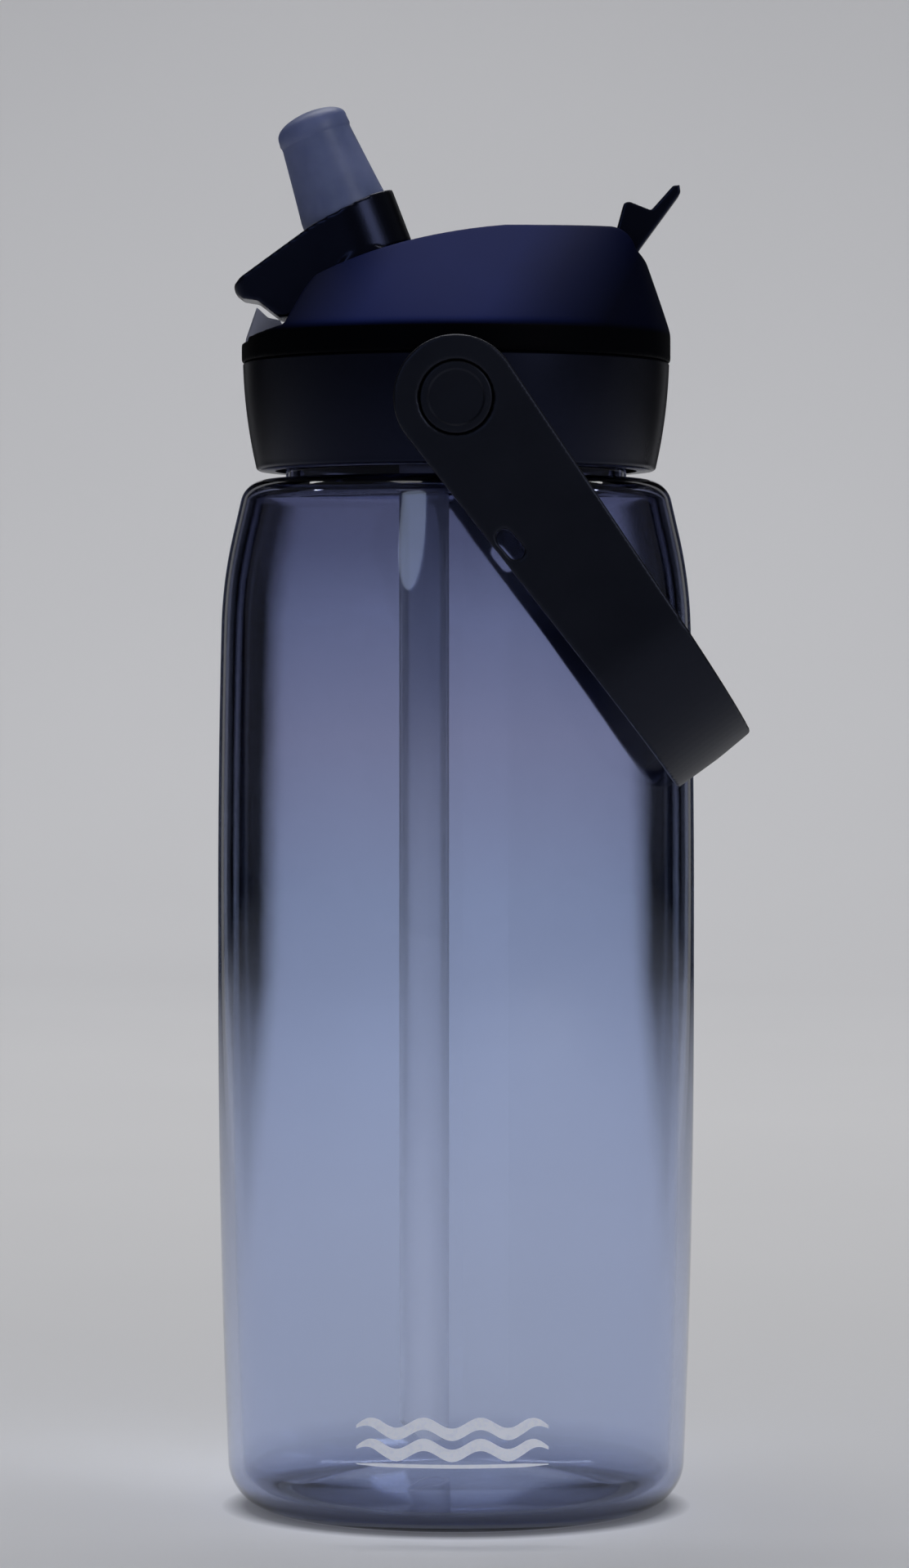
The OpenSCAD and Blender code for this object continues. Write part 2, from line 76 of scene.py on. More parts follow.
VALVE_RX, VALVE_RY, VALVE_LEN, VALVE_TAPER, VALVE_FOOT = 8.5, 9.2, 19.4, 0.8, 1.5
NIPPLE_R, NIPPLE_H, NIPPLE_BARB = 4.4, 7, 0.7
STRAW_X, STRAW_R, STRAW_WALL, STRAW_END_Z, STRAW_SLANT = 6.1, 4.75, 1, 13, 35
HANDLE_LEAN, HANDLE_REACH, EYE_R, GRIP_W, GRIP_SKEW = 36, 82.4, 11.5, 17, 5
ARM_T, GRIP_T, HANDLE_CORNER_R, SWING_CLEAR_R = 3, 3.6, 28, 46.2
SLOT_S, SLOT_T, SLOT_TURN, SLOT_LEN, SLOT_W = 27.5, -7.8, -5, 6.4, 3.2
STUD_R, STUD_HEAD_R, STUD_HEAD_T, RUN_GAP = 4, 6.6, 1.2, 0.3
COLLAR_R0, COLLAR_R1, BOSS_R, BOSS_GAP = 38.2, 40.8, 9, 0.6
VENT_X, VENT_R = 14, 1.4

# levels and radii that follow from them
SHOULDER_Z = NECK_TOP - NECK_H
DECK_Z, DECK_R = COLLAR_Z1 - DECK_T, COVER_R - DECK_INSET
BAND_Z, FLOOR_Z = COLLAR_Z1 + BAND_H, COLLAR_Z1 + FLOOR_H
BOSS_Y = ARM_Y1 - ARM_T - BOSS_GAP
REAR_X = COVER_R - REAR_INSET


# ------------------------------------------------------------------ small geometry helpers
def polar(centre, r, a):
    """The point at angle a degrees on a circle of radius r round centre."""
    return (centre[0] + r * math.cos(math.radians(a)), centre[1] + r * math.sin(math.radians(a)))


def arc(centre, r, a0, a1, n):
    """n + 1 points on an arc, with angles in degrees."""
    return [polar(centre, r, a0 + (a1 - a0) * i / n) for i in range(n + 1)]


def bow(p, q, r, n):
    """n + 1 points from p to q on an arc of radius r that bulges to the left of the way."""
    dx, dy = q[0] - p[0], q[1] - p[1]
    length = math.hypot(dx, dy)
    left = (-dy / length, dx / length)
    back = math.sqrt(r * r - length * length / 4)
    c = ((p[0] + q[0]) / 2 - left[0] * back, (p[1] + q[1]) / 2 - left[1] * back)
    a0 = math.degrees(math.atan2(p[1] - c[1], p[0] - c[0]))
    half = math.degrees(math.asin(length / 2 / r))
    return arc(c, r, a0, a0 - 2 * half, n)


def side_r(z):
    """Radius of the body's bowed side at height z."""
    past = max(0, abs(z - BELLY_Z) - BELLY_BAND / 2)
    return BODY_R - past ** 2 / (2 * SIDE_BOW_R)


def wall_line(inset, neck):
    """The body's wall from the axis under the base to the foot of the neck, taken inward."""
    corner = (side_r(BASE_CORNER_R) - BASE_CORNER_R, BASE_CORNER_R)
    punt_r = corner[0] - PUNT_INSET
    z1 = SHOULDER_Z - SHOULDER_LEN
    a1 = math.degrees(math.atan((z1 - BELLY_Z - BELLY_BAND / 2) / SIDE_BOW_R))
    bend = (side_r(z1) - SHOULDER_BEND_R * math.cos(math.radians(a1)),
            z1 - SHOULDER_BEND_R * math.sin(math.radians(a1)))
    bent = polar(bend, SHOULDER_BEND_R, BEND_END)
    sin_end, cos_end = math.sin(math.radians(BEND_END)), math.cos(math.radians(BEND_END))
    edge_z = SHOULDER_Z - SHOULDER_EDGE_R
    run = (edge_z + SHOULDER_EDGE_R * sin_end - bent[1]) / cos_end
    edge = (bent[0] - run * sin_end - SHOULDER_EDGE_R * cos_end, edge_z)
    points = [(punt_r * i / 12, PUNT_H * (1 - (i / 12) ** 2) + inset) for i in range(13)]
    points += arc(corner, BASE_CORNER_R - inset, -90, 0, 20)
    zs = [BASE_CORNER_R + (z1 - BASE_CORNER_R) * i / 40 for i in range(1, 40)]
    points += [(side_r(z) - inset, z) for z in zs]
    points += arc(bend, SHOULDER_BEND_R - inset, a1, BEND_END, 14)
    points += arc(edge, SHOULDER_EDGE_R - inset, BEND_END, 90, 16)
    return points + [(neck, SHOULDER_Z - inset)]


def mesh_object(name, verts, faces, smooth=True):
    """A new object in the scene from points in millimetres."""
    mesh = bpy.data.meshes.new(name)
    mesh.from_pydata([Vector(v) * MM for v in verts], [], faces)
    mesh.validate()
    if smooth:
        mesh.polygons.foreach_set("use_smooth", [True] * len(mesh.polygons))
    obj = bpy.data.objects.new(name, mesh)
    bpy.context.scene.collection.objects.link(obj)
    return obj


def lathe(name, profile, steps=144):
    """A closed solid turned from a closed outline of (r, z) points; r of 0 lies on the axis."""
    verts, rings = [], []
    for r, z in profile:
        if r < 1e-6:
            rings.append([len(verts)] * steps)
            verts.append((0, 0, z))
        else:
            first = len(verts)
            rings.append([first + i for i in range(steps)])
            verts += [(r * math.cos(2 * math.pi * i / steps), r * math.sin(2 * math.pi * i / steps), z)
                      for i in range(steps)]
    faces = []
    closed = profile[0][0] > 1e-6
    pairs = list(zip(rings, rings[1:] + rings[:1])) if closed else list(zip(rings, rings[1:]))
    for low, high in pairs:
        for i in range(steps):
            k = (i + 1) % steps
            quad = [low[i], low[k], high[k], high[i]]
            quad = [v for n, v in enumerate(quad) if v not in quad[:n]]
            if len(quad) > 2:
                faces.append(quad)
    return mesh_object(name, verts, faces)


def set_crease_by_angle(obj, degrees=35):
    """Sharp edges stay sharp under smooth shading."""
    mesh = obj.data
    mesh.polygons.foreach_set("use_smooth", [True] * len(mesh.polygons))
    mesh.set_sharp_from_angle(angle=math.radians(degrees))


def apply_modifiers(obj):
    """Bakes the object's modifiers into its mesh."""
    graph = bpy.context.evaluated_depsgraph_get()
    graph.update()
    mesh = bpy.data.meshes.new_from_object(obj.evaluated_get(graph))
    old = obj.data
    obj.modifiers.clear()
    obj.data = mesh
    bpy.data.meshes.remove(old)
    return obj


def boolean(obj, other, operation):
    """Adds or cuts another solid, which is then removed."""
    modifier = obj.modifiers.new("boolean", "BOOLEAN")
    modifier.operation = operation
    modifier.solver = "EXACT"
    modifier.object = other
    apply_modifiers(obj)
    bpy.data.objects.remove(other)
    return obj


def soften(obj, voxel, rounds=6, keep=None):
    """Remakes a solid as an even skin with slightly rounded edges."""
    remesh = obj.modifiers.new("skin", "REMESH")
    remesh.mode = "VOXEL"
    remesh.voxel_size = voxel * MM
    remesh.use_smooth_shade = True
    smooth = obj.modifiers.new("ease", "SMOOTH")
    smooth.factor = 0.5
    smooth.iterations = rounds
    if keep:
        thin = obj.modifiers.new("thin", "DECIMATE")
        thin.ratio = keep
    apply_modifiers(obj)
    obj.data.polygons.foreach_set("use_smooth", [True] * len(obj.data.polygons))
    return obj


def prism(name, outline, y0, y1):
    """A slab of an (x, z) outline between two y planes."""
    n = len(outline)
    verts = [(x, y0, z) for x, z in outline] + [(x, y1, z) for x, z in outline]
    faces = [list(range(n)), list(range(2 * n - 1, n - 1, -1))]
    faces += [[i, i + n, (i + 1) % n + n, (i + 1) % n] for i in range(n)]
    obj = mesh_object(name, verts, faces, smooth=False)
    outward(obj)
    return obj


def column(name, outline, z0, z1):
    """A column of an (x, y) outline between two heights."""
    n = len(outline)
    verts = [(x, y, z0) for x, y in outline] + [(x, y, z1) for x, y in outline]
    faces = [list(range(n - 1, -1, -1)), list(range(n, 2 * n))]
    faces += [[i, (i + 1) % n, (i + 1) % n + n, i + n] for i in range(n)]
    obj = mesh_object(name, verts, faces, smooth=False)
    outward(obj)
    return obj


def outward(obj):
    """Turns every face of a closed solid to look out."""
    work = bmesh.new()
    work.from_mesh(obj.data)
    bmesh.ops.recalc_face_normals(work, faces=work.faces)
    work.to_mesh(obj.data)
    work.free()


def rod_y(name, x, z, r, y0, y1, n=64):
    """A round rod along Y."""
    return prism(name, [polar((x, z), r, 360 * i / n) for i in range(n)], y0, y1)


def place(obj, matrix):
    """Moves the mesh of an object, in millimetres."""
    scale = Matrix.Scale(MM, 4)
    obj.data.transform(scale @ matrix @ scale.inverted())
    return obj


# ------------------------------------------------------------------ materials
def new_material(name):
    """A node material with its shader, and a link helper."""
    material = bpy.data.materials.new(name)
    material.use_nodes = True
    nodes, links = material.node_tree.nodes, material.node_tree.links
    nodes.clear()
    out = nodes.new("ShaderNodeOutputMaterial")
    shader = nodes.new("ShaderNodeBsdfPrincipled")
    links.new(shader.outputs["BSDF"], out.inputs["Surface"])
    return material, nodes, links, shader


def principled(material):
    """The main shader of a material."""
    return next(n for n in material.node_tree.nodes if n.type == "BSDF_PRINCIPLED")


def coordinates(nodes):
    """Places on the object itself, in metres."""
    return nodes.new("ShaderNodeTexCoord").outputs["Object"]


def noise(nodes, links, vector, scale, detail=3.0, rough=0.55):
    """A cloudy value between 0 and 1."""
    texture = nodes.new("ShaderNodeTexNoise")
    texture.inputs["Scale"].default_value = scale
    texture.inputs["Detail"].default_value = detail
    texture.inputs["Roughness"].default_value = rough
    links.new(vector, texture.inputs["Vector"])
    return texture.outputs["Fac"]


def ramp(nodes, links, value, stops):
    """A colour ramp; stops are (position, colour)."""
    node = nodes.new("ShaderNodeValToRGB")
    elements = node.color_ramp.elements
    while len(elements) < len(stops):
        elements.new(0.5)
    for element, (position, colour) in zip(elements, stops):
        element.position = position
        element.color = (*colour, 1)
    links.new(value, node.inputs["Fac"])
    return node.outputs["Color"]


def spread(nodes, links, value, low, high, to_low, to_high):
    """Maps a value from one range to another."""
    node = nodes.new("ShaderNodeMapRange")
    for key, number in (("From Min", low), ("From Max", high), ("To Min", to_low), ("To Max", to_high)):
        node.inputs[key].default_value = number
    links.new(value, node.inputs["Value"])
    return node.outputs["Result"]


def arithmetic(nodes, links, operation, first, second=None):
    """One step of arithmetic on a value."""
    node = nodes.new("ShaderNodeMath")
    node.operation = operation
    links.new(first, node.inputs[0])
    if isinstance(second, (int, float)):
        node.inputs[1].default_value = second
    elif second is not None:
        links.new(second, node.inputs[1])
    return node.outputs["Value"]


def bump(nodes, links, shader, height, strength, distance):
    """Raises the surface by a value."""
    node = nodes.new("ShaderNodeBump")
    node.inputs["Strength"].default_value = strength
    node.inputs["Distance"].default_value = distance
    links.new(height, node.inputs["Height"])
    links.new(node.outputs["Normal"], shader.inputs["Normal"])


def absorb(material, colour, density):
    """Light loses its other colours along its way inside the solid."""
    nodes, links = material.node_tree.nodes, material.node_tree.links
    volume = nodes.new("ShaderNodeVolumeAbsorption")
    volume.inputs["Color"].default_value = (*colour, 1)
    volume.inputs["Density"].default_value = density
    out = next(n for n in nodes if n.type == "OUTPUT_MATERIAL")
    links.new(volume.outputs["Volume"], out.inputs["Volume"])


def let_light_through(material, share, colour):
    """Mixes a share of light that scatters right through a thin wall."""
    nodes, links = material.node_tree.nodes, material.node_tree.links
    out = next(n for n in nodes if n.type == "OUTPUT_MATERIAL")
    through = nodes.new("ShaderNodeBsdfTranslucent")
    through.inputs["Color"].default_value = (*colour, 1)
    mix = nodes.new("ShaderNodeMixShader")
    mix.inputs["Fac"].default_value = share
    links.new(principled(material).outputs["BSDF"], mix.inputs[1])
    links.new(through.outputs["BSDF"], mix.inputs[2])
    links.new(mix.outputs["Shader"], out.inputs["Surface"])
    return material


def black_plastic(name, colour, sheen_colour, rough):
    """Satin black moulding: fine spark texture, slight flow marks and handling wear."""
    material, nodes, links, shader = new_material(name)
    where = coordinates(nodes)
    grain = noise(nodes, links, where, 2600, 2)
    flow = noise(nodes, links, where, 45, 4)
    tone = ramp(nodes, links, flow, [(0.3, colour), (0.7, [c * 1.5 + 0.001 for c in colour])])
    links.new(tone, shader.inputs["Base Color"])
    links.new(spread(nodes, links, flow, 0.3, 0.7, rough - 0.04, rough + 0.05), shader.inputs["Roughness"])
    bump(nodes, links, shader, grain, 0.25, 0.00004)
    shader.inputs["Specular Tint"].default_value = (*sheen_colour, 1)
    return material


def painted_sheen_plastic(name):
    """Matt black moulding: a painted navy sheen above its foot band, fading to painted shade at its two ends.
    """
    material, nodes, links, shader = new_material(name)
    where = coordinates(nodes)
    split = nodes.new("ShaderNodeSeparateXYZ")
    links.new(where, split.inputs["Vector"])
    # the painted sheen lies only above the foot band; the band keeps the moulding's own black
    rise = spread(nodes, links, split.outputs["Z"], (BAND_Z - 0.6) * MM, (BAND_Z + 0.6) * MM, 0, 1)
    up = arithmetic(nodes, links, "MULTIPLY", split.outputs["Z"], -0.5)
    along = spread(nodes, links, arithmetic(nodes, links, "ADD", split.outputs["X"], up),
                   (-COVER_R - BAND_Z / 2) * MM, (COVER_R - BAND_Z / 2) * MM, 0, 1)
    # painted shade: the sheen fades toward the cover's front and rear ends
    ends = ramp(nodes, links, along, [(0.08, (0.1, 0.1, 0.1)), (0.28, (1, 1, 1)), (0.55, (1, 1, 1)),
                                      (0.68, (0.45, 0.45, 0.45)), (0.84, (0.08, 0.08, 0.08))])
    flow = ramp(nodes, links, noise(nodes, links, where, 45, 4), [(0.3, (0.9, 0.9, 0.9)), (0.7, (1, 1, 1))])
    share = arithmetic(nodes, links, "MULTIPLY", arithmetic(nodes, links, "MULTIPLY", rise, ends), flow)
    # near black is the moulding's own colour; the navy is painted sheen of the light above, so the real
    # reflection is nearly off
    links.new(ramp(nodes, links, share, [(0.0, (0.0008, 0.001, 0.002)), (1.0, (0.013, 0.022, 0.120))]),
              shader.inputs["Base Color"])
    shader.inputs["Roughness"].default_value = 0.5
    shader.inputs["Specular IOR Level"].default_value = 0.02
    bump(nodes, links, shader, noise(nodes, links, where, 2600, 2), 0.25, 0.00004)
    return material


def clear_plastic(name, stops, z_low, z_high, rough):
    """See-through moulding whose colour runs along its height as its stops give, with faint mould ripple."""
    material, nodes, links, shader = new_material(name)
    where = coordinates(nodes)
    split = nodes.new("ShaderNodeSeparateXYZ")
    links.new(where, split.inputs["Vector"])
    along = spread(nodes, links, split.outputs["Z"], z_low * MM, z_high * MM, 0, 1)
    links.new(ramp(nodes, links, along, stops), shader.inputs["Base Color"])
    ripple = noise(nodes, links, where, 60, 2)
    links.new(spread(nodes, links, ripple, 0.3, 0.7, rough, rough + 0.03), shader.inputs["Roughness"])
    bump(nodes, links, shader, ripple, 0.04, 0.0004)
    shader.inputs["Transmission Weight"].default_value = 1.0
    shader.inputs["IOR"].default_value = 1.54
    return material


def silicone(name, colour, deep, clear, rough):
    """Soft rubbery moulding that lets some light through."""
    material, nodes, links, shader = new_material(name)
    where = coordinates(nodes)
    cloud = noise(nodes, links, where, 120, 3)
    links.new(ramp(nodes, links, cloud, [(0.35, deep), (0.65, colour)]), shader.inputs["Base Color"])
    links.new(spread(nodes, links, cloud, 0.3, 0.7, rough - 0.05, rough + 0.06), shader.inputs["Roughness"])
    bump(nodes, links, shader, noise(nodes, links, where, 1500, 2), 0.2, 0.00004)
    shader.inputs["Subsurface Weight"].default_value = 0.4
    shader.inputs["Subsurface Radius"].default_value = (0.004, 0.004, 0.006)
    shader.inputs["Subsurface Scale"].default_value = 1.0
    shader.inputs["Transmission Weight"].default_value = clear
    shader.inputs["IOR"].default_value = 1.41
    return material


# the body's colour up its height: painted shade darkens the lowest dozen millimetres round the foot; above, a
# pale blue tint that grows darker toward the top
BODY_STOPS_WITH_FOOT_SHADE = [(0.0, (0.13, 0.15, 0.25)), (0.02, (0.44, 0.48, 0.62)), (0.06, (0.83, 0.87, 0.96)),
              (0.12, (0.84, 0.885, 0.98)), (0.265, (0.825, 0.875, 0.985)),
              (0.42, (0.785, 0.845, 0.975)), (0.58, (0.725, 0.785, 0.925)), (0.735, (0.665, 0.685, 0.825)),
              (0.845, (0.555, 0.585, 0.74)), (0.92, (0.42, 0.44, 0.58)), (1.0, (0.38, 0.39, 0.52))]
BLACK = black_plastic("black_satin", (0.0008, 0.0009, 0.0016), (0.3, 0.35, 0.7), 0.30)
COVER_WITH_PAINTED_SHEEN = painted_sheen_plastic("cover_black_painted_sheen")
HANDLE_BLACK = black_plastic("handle_black", (0.001, 0.0011, 0.0014), (0.5, 0.55, 0.8), 0.42)
BODY_TINT_FOOT_SHADED = clear_plastic("body_tint", BODY_STOPS_WITH_FOOT_SHADE, 0, 200, 0.02)
absorb(BODY_TINT_FOOT_SHADED, (0.15, 0.32, 0.80), 45)
STRAW_CLEAR = clear_plastic("straw_clear", [(0.0, (0.93, 0.94, 0.98)), (1.0, (0.90, 0.92, 0.98))],
                            0, 200, 0.08)
let_light_through(STRAW_CLEAR, 0.3, (0.97, 0.98, 1.0))
principled(STRAW_CLEAR).inputs["IOR"].default_value = 1.2
VALVE_SOFT = silicone("valve_silicone", (0.24, 0.28, 0.50), (0.18, 0.22, 0.41), 0.25, 0.42)
BUMPER_SOFT = silicone("bumper_silicone", (0.62, 0.64, 0.80), (0.52, 0.54, 0.72), 0.3, 0.40)
let_light_through(BUMPER_SOFT, 0.9, (0.9, 0.91, 1.0))
SEAL_SOFT = silicone("seal_silicone", (0.55, 0.56, 0.62), (0.46, 0.47, 0.54), 0.15, 0.45)


def finish_piece(obj, body, material, slot, *nodes):
    """Gives a piece its material and its body, and hides the CAD nodes it stands for; slot is not used."""
    obj.data.materials.clear()
    obj.data.materials.append(material)
    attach(obj, body)
    if nodes:
        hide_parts(*nodes)
    return obj


# ------------------------------------------------------------------ bottle body
def thread(name, r_root, r_crest, root_w, crest_w, z0, steps=48):
    """A helical ridge that runs out to nothing at its ends."""
    rings = round(THREAD_TURNS * steps)
    runout = steps / 9
    verts, faces = [], []
    for i in range(rings + 1):
        k = max(0.05, min(1, i / runout, (rings - i) / runout))
        a, z = 2 * math.pi * i / steps, z0 + THREAD_PITCH * i / steps
        rc, wc = r_root + (r_crest - r_root) * k, root_w + (crest_w - root_w) * k
        for r, w in ((r_root, -root_w), (rc, -wc), (rc, wc), (r_root, root_w)):
            verts.append((r * math.cos(a), r * math.sin(a), z + w / 2))
    for i in range(rings):
        for j in range(4):
            a, b = 4 * i + j, 4 * i + (j + 1) % 4
            faces.append([a, b, b + 4, a + 4])
    faces += [[3, 2, 1, 0], [4 * rings + j for j in range(4)]]
    obj = mesh_object(name, verts, faces, smooth=False)
    outward(obj)
    return obj


def make_body():
    """The see-through body: one wall from the hollow base to the rounded rim, and its thread."""
    rim, mouth = RIM_EDGE, NECK_R - NECK_WALL
    outer = wall_line(0, NECK_R)
    outer += arc((NECK_R - rim, NECK_TOP - rim), rim, 0, 90, 5)
    inner = wall_line(BODY_WALL, mouth) + arc((mouth + rim, NECK_TOP - rim), rim, 180, 90, 5)
    obj = lathe("body_shell", outer + inner[::-1], 192)
    outward(obj)
    ridge = thread("neck_thread", NECK_R - THREAD_SINK, NECK_R + THREAD_H, THREAD_ROOT_W, THREAD_CREST_W,
                   NECK_TOP - THREAD_DROP)
    boolean(obj, ridge, "UNION")
    set_crease_by_angle(obj, 40)
    obj.visible_shadow = False
    return finish_piece(obj, "bottle", BODY_TINT_FOOT_SHADED, "body_tint", "bottle_body")


# ------------------------------------------------------------------ collar and studs
def make_collar():
    """The screw collar: a bowed ring with a round boss on each side for the handle."""
    bore, low_r, top_r, ease = NECK_R + THREAD_H + THREAD_GAP, COLLAR_R0, COLLAR_R1, 0.9
    outline = [(bore, COLLAR_Z0), (low_r - ease, COLLAR_Z0)]
    outline += arc((low_r - ease, COLLAR_Z0 + ease), ease, -75, 0, 5)
    outline += bow((top_r - 0.15, COLLAR_Z1 - 0.4), (low_r, COLLAR_Z0 + ease), 100, 24)[::-1][1:]
    outline += [(top_r - 0.5, COLLAR_Z1 - 0.05), (DECK_R, COLLAR_Z1), (DECK_R, DECK_Z), (bore, DECK_Z)]
    obj = lathe("collar_ring", outline, 160)
    outward(obj)
    for side in (-1, 1):
        boss = rod_y("boss", PIVOT.x, PIVOT.z, BOSS_R, side * (NECK_R + 5), side * BOSS_Y)
        boolean(obj, boss, "UNION")
        hole = rod_y("hole", PIVOT.x, PIVOT.z, STUD_R, side * (DECK_R + 0.1), side * (BOSS_Y + 2))
        boolean(obj, hole, "DIFFERENCE")
    set_crease_by_angle(obj, 32)
    return finish_piece(obj, "lid", BLACK, "black_moulding", "screw_collar")


def make_stud(node, side):
    """A pivot stud with a shallow dished head."""
    y0, y1, edge, dish = DECK_R, ARM_Y1, 0.35, 0.3
    line = [(0, y0), (STUD_R, y0), (STUD_R, y1 - STUD_HEAD_T)]
    line += [(STUD_HEAD_R, y1 - STUD_HEAD_T)]
    line += arc((STUD_HEAD_R - edge, y1 - edge), edge, 0, 90, 4)
    line += [(STUD_HEAD_R - 1.3, y1), (STUD_HEAD_R - 1.7, y1 - dish), (0, y1 - dish)]
    obj = lathe(node + "_pin", line, 72)
    turn = Matrix.Rotation(math.radians(-90 * side), 4, "X")
    place(obj, Matrix.Translation(PIVOT) @ turn)
    outward(obj)
    set_crease_by_angle(obj, 35)
    return finish_piece(obj, "lid", HANDLE_BLACK, "handle_moulding", node)


# ------------------------------------------------------------------ lid cover
def cover_section(s, steps):
    """Plan outline of the cover: a circle at s = 0 that turns into a long ridge shape at s = 1."""
    front, n = HINGE.x - 9, RIDGE_POWER
    a, b = (REAR_X - front) / 2, CHANNEL_HW + RIDGE_W
    points = []
    for i in range(steps):
        f = 2 * math.pi * i / steps
        cx, cy = math.cos(f), math.sin(f)
        u, v = (a * abs(cx)) ** (1 / (n - 1)), (b * abs(cy)) ** (1 / (n - 1))
        k = (u ** n + v ** n) ** (1 / n)
        bx = (front + REAR_X) / 2 + math.copysign(a * u / k, cx)
        by = math.copysign(b * v / k, cy)
        points.append(((1 - s) * COVER_R * cx + s * bx, (1 - s) * COVER_R * cy + s * by))
    return points


def cover_side():
    """Side outline of the cover, from the front foot over the crown to the rear foot."""
    apron, foot_z = HINGE.x - 16.5, COLLAR_Z1 - 5
    brow, crown, tail = (HINGE.x - 10.7, BAND_Z + 10.2), (REAR_X - 5.6, CROWN_Z), (REAR_X, CROWN_Z - 4.1)
    line = [(-COVER_R, foot_z), (-COVER_R, BAND_Z - 1.4), (apron, BAND_Z + 0.6)]
    line += bow((apron + 3.3, BAND_Z + 6.8), brow, 20, 6)
    line += bow(brow, crown, 105, 40)[1:]
    line += bow(crown, tail, 5, 10)[1:]
    line += bow(tail, (COVER_R, BAND_Z), 20, 20)[1:]
    return line + [(COVER_R, foot_z)]


def make_cover():
    """The lid cover: two cheeks with a channel between them for the folded spout."""
    steps, rise = 160, CROWN_Z - BAND_Z
    levels = [(COLLAR_Z1 + 0.05, 0), (BAND_Z - 0.3, 0), (BAND_Z, 0.008)]
    levels += [(BAND_Z + rise * i / 24, (i / 24) ** 1.06) for i in range(1, 25)]
    verts = [(x, y, z) for z, s in levels for x, y in cover_section(s, steps)]
    faces = [list(range(steps))[::-1], [len(verts) - steps + i for i in range(steps)]]
    for r in range(len(levels) - 1):
        for i in range(steps):
            k, low, high = (i + 1) % steps, r * steps, (r + 1) * steps
            faces.append([low + i, low + k, high + k, high + i])
    obj = mesh_object("cover_shell", verts, faces)
    outward(obj)
    boolean(obj, prism("side", cover_side(), -60, 60), "INTERSECT")
    end = CHANNEL_END - CHANNEL_HW
    plan = [(-COVER_R - 2, CHANNEL_HW), (-COVER_R - 2, -CHANNEL_HW)]
    plan += arc((end, 0), CHANNEL_HW, -90, 90, 32)
    boolean(obj, column("channel", plan, FLOOR_Z, CROWN_Z + 9), "DIFFERENCE")
    socket = CHANNEL_HW + TRUNNION_LEN + RUN_GAP
    boolean(obj, rod_y("socket", HINGE.x, HINGE.z, TRUNNION_R + RUN_GAP, -socket, socket), "DIFFERENCE")
    front, back, half = HINGE.x - 6.5, HINGE.x + 5.5, 7
    seal = [(front, -half), (back, -half), (back, half), (front, half)]
    boolean(obj, column("seal_hole", seal, COLLAR_Z1 - 4, FLOOR_Z + 1), "DIFFERENCE")
    vent = [polar((VENT_X, 0), VENT_R, 15 * i) for i in range(24)]
    boolean(obj, column("vent_hole", vent, FLOOR_Z - 2, FLOOR_Z + 1), "DIFFERENCE")
    soften(obj, 0.42, 5, 0.4)
    return finish_piece(obj, "lid", COVER_WITH_PAINTED_SHEEN, "black_moulding", "lid_cover")


def make_rear_tab():
    """The catch behind the channel that the folded spout snaps under."""
    root = (COVER_R - 9, CROWN_Z - 0.3)
    line = [(-2.2, -6), (-1.4, 0), (0, 5.2), (0.9, 5.6), (5.2, 3.9), (9.4, 8.6), (10.6, 8.7),
            (10.8, 7.2), (3.2, -3.2), (1.6, -6)]
    obj = prism("tab", [(root[0] + x, root[1] + z) for x, z in line], -4, 4)
    soften(obj, 0.24, 6, 0.5)
    return finish_piece(obj, "lid", BLACK, "black_moulding", "rear_tab")


def make_bumper():
    """The soft bumper in the notch under the spout's finger tab."""
    line = [(0.8, -1.2), (1, 0.5), (3.1, 6.6), (5.2, 4.6), (7.6, 4.1), (9, -1.2)]
    obj = prism("bumper", [(x - COVER_R, z + FLOOR_Z) for x, z in line], -7, 7)
    soften(obj, 0.28, 6, 0.5)
    return finish_piece(obj, "lid", BUMPER_SOFT, "valve_silicone", "front_bumper")


# ------------------------------------------------------------------ spout and bite valve
ON_SPOUT = Matrix.Translation(HINGE) @ Matrix.Rotation(math.radians(-SPOUT_LEAN), 4, "Y")


def nipple_barb():
    """The barb that holds the valve on the nipple."""
    return [(NIPPLE_R + NIPPLE_BARB, HEAD_Z1 + 4.6), (NIPPLE_R + 0.4, HEAD_Z1 + 5.8), (NIPPLE_R, HEAD_Z1 + 6)]


